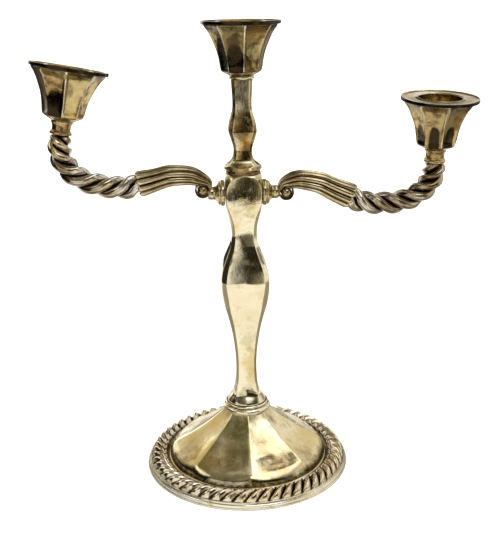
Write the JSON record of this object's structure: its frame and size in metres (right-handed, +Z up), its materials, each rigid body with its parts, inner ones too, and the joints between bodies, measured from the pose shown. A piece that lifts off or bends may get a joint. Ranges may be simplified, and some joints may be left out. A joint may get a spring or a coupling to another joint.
{
  "type": "candelabra",
  "caption": "Tabletop candelabra with an octagonal trumpet foot, faceted baluster column and two scrolled, rope-twisted arms; flared cups hold lift-out drip rims.",
  "frame": {"origin": "centre of the foot's underside, on the surface it stands on", "axes": "+Z up along the column, +X towards the lower, right-hand light, -Y the side the picture shows"},
  "size_m": [0.231, 0.1144, 0.2458],
  "materials": {
    "silver_plate": "polished",
    "rope_plate": "polished",
    "cup_plate": "gloss",
    "rim_plate": "gloss",
    "border_plate": "satin",
    "tarnished_plate": "satin",
    "steel": "satin",
    "plaster": "matte",
    "felt": "matte"
  },
  "bodies": {
    "stand": {"foot_dome": "silver_plate", "foot_band": "silver_plate", "collar_ring_lower": "silver_plate", "collar_ring_upper": "silver_plate", "lower_column": "silver_plate", "upper_stem": "silver_plate", "stem_seat_ring": "silver_plate", "arm_boss_left": "silver_plate", "arm_horn_left": "silver_plate", "arm_scroll_ball_left": "silver_plate", "arm_ferrule_left": "silver_plate", "arm_boss_right": "silver_plate", "arm_horn_right": "silver_plate", "arm_scroll_ball_right": "silver_plate", "arm_ferrule_right": "silver_plate", "arm_rope_left": "rope_plate", "arm_rope_right": "rope_plate", "foot_rope_border": "border_plate", "neck_ring": "tarnished_plate", "tie_rod": "steel", "tie_rod_nut": "steel", "tie_rod_washer": "steel", "tie_rod_top_nut": "steel", "foot_base_plate": "steel", "arm_stud_left": "steel", "arm_stud_right": "steel", "cup_screw_left": "steel", "cup_screw_right": "steel", "foot_weight": "plaster", "foot_felt": "felt"},
    "left_cup": {"cup_left": "cup_plate"},
    "left_nozzle": {"nozzle_left": "rim_plate"},
    "centre_cup": {"cup_centre": "cup_plate"},
    "centre_nozzle": {"nozzle_centre": "rim_plate"},
    "right_cup": {"cup_right": "cup_plate"},
    "right_nozzle": {"nozzle_right": "rim_plate"}
  },
  "joints": [
    {"name": "left_cup_turn", "type": "hinge", "parent": "stand", "child": "left_cup", "pos_m": [-0.09232, 0.00062, 0.19897], "axis": [0.1869, 0.0698, 0.9799], "range_deg": [0, 180]},
    {"name": "left_nozzle_lift", "type": "slide", "parent": "left_cup", "child": "left_nozzle", "axis": [0.1869, 0.0698, 0.9799], "range_m": [0, 0.03]},
    {"name": "centre_cup_turn", "type": "hinge", "parent": "stand", "child": "centre_cup", "pos_m": [0, 0, 0.2201], "axis": [0, 0, 1], "range_deg": [0, 180]},
    {"name": "centre_nozzle_lift", "type": "slide", "parent": "centre_cup", "child": "centre_nozzle", "axis": [0, 0, 1], "range_m": [0, 0.03]},
    {"name": "right_cup_turn", "type": "hinge", "parent": "stand", "child": "right_cup", "pos_m": [0.10229, -0.00074, 0.18035], "axis": [0.0226, -0.0837, 0.9962], "range_deg": [0, 180]},
    {"name": "right_nozzle_lift", "type": "slide", "parent": "right_cup", "child": "right_nozzle", "axis": [0.0226, -0.0837, 0.9962], "range_m": [0, 0.03]}
  ]
}
